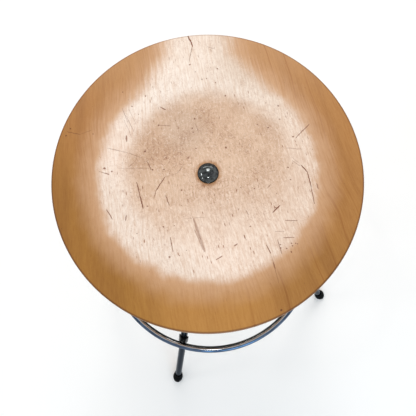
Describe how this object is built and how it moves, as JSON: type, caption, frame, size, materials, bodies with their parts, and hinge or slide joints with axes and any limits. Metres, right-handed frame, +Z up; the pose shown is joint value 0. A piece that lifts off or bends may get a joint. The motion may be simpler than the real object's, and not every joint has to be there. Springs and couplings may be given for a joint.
{
  "type": "adjustable swivel stool",
  "caption": "Round dished plywood seat on a threaded spindle that turns in a hub on splayed tubular legs with a foot ring; turning the seat sets its height.",
  "frame": {"origin": "on the floor, on the spindle's axis, in the middle of the four feet", "axes": "+Z up along the spindle; the legs stand on the X and Y axes, the front one towards -Y"},
  "size_m": [0.5304, 0.5304, 0.69],
  "materials": {
    "seat_wood": "satin varnish, worn through in the middle",
    "bolt_chrome": "dark polished",
    "plate_steel": "zinc plated",
    "screw_steel": "dark zinc",
    "spindle_steel": "turned, oiled",
    "nut_steel": "turned",
    "leg_chrome": "dark polished",
    "ring_chrome": "polished",
    "black_rubber": "matt",
    "black_plastic": "satin",
    "plug_plastic": "matt"
  },
  "bodies": {
    "base": {"hub_tube": "leg_chrome", "spindle_nut": "nut_steel", "nut_screw": "screw_steel", "buffer_ring": "black_rubber", "hub_plug": "black_plastic", "leg_front": "leg_chrome", "leg_right": "leg_chrome", "leg_back": "leg_chrome", "leg_left": "leg_chrome", "foot_cap_front": "black_rubber", "foot_cap_right": "black_rubber", "foot_cap_back": "black_rubber", "foot_cap_left": "black_rubber", "foot_ring": "ring_chrome", "ring_saddle_front": "black_plastic", "ring_saddle_right": "black_plastic", "ring_saddle_back": "black_plastic", "ring_saddle_left": "black_plastic", "ring_screws": "screw_steel"},
    "guide": {"guide_disc": "plug_plastic"},
    "seat": {"seat_shell": "seat_wood", "seat_bolt": "bolt_chrome", "seat_flange": "plate_steel", "flange_screws": "screw_steel", "spindle": "spindle_steel", "stop_washer": "plate_steel", "stop_screw": "screw_steel"}
  },
  "joints": [
    {"name": "spindle_rise", "type": "slide", "parent": "base", "child": "guide", "axis": [0, 0, 1], "range_m": [-0.105, 0.035]},
    {"name": "seat_turn", "type": "hinge", "parent": "guide", "child": "seat", "pos_m": [0, 0, 0.674], "axis": [0, 0, 1], "range_deg": [-4725, 1575]}
  ],
  "couplings": [
    {"joint": "spindle_rise", "follows": "seat_turn", "m_per_rad": 0.0012732}
  ]
}
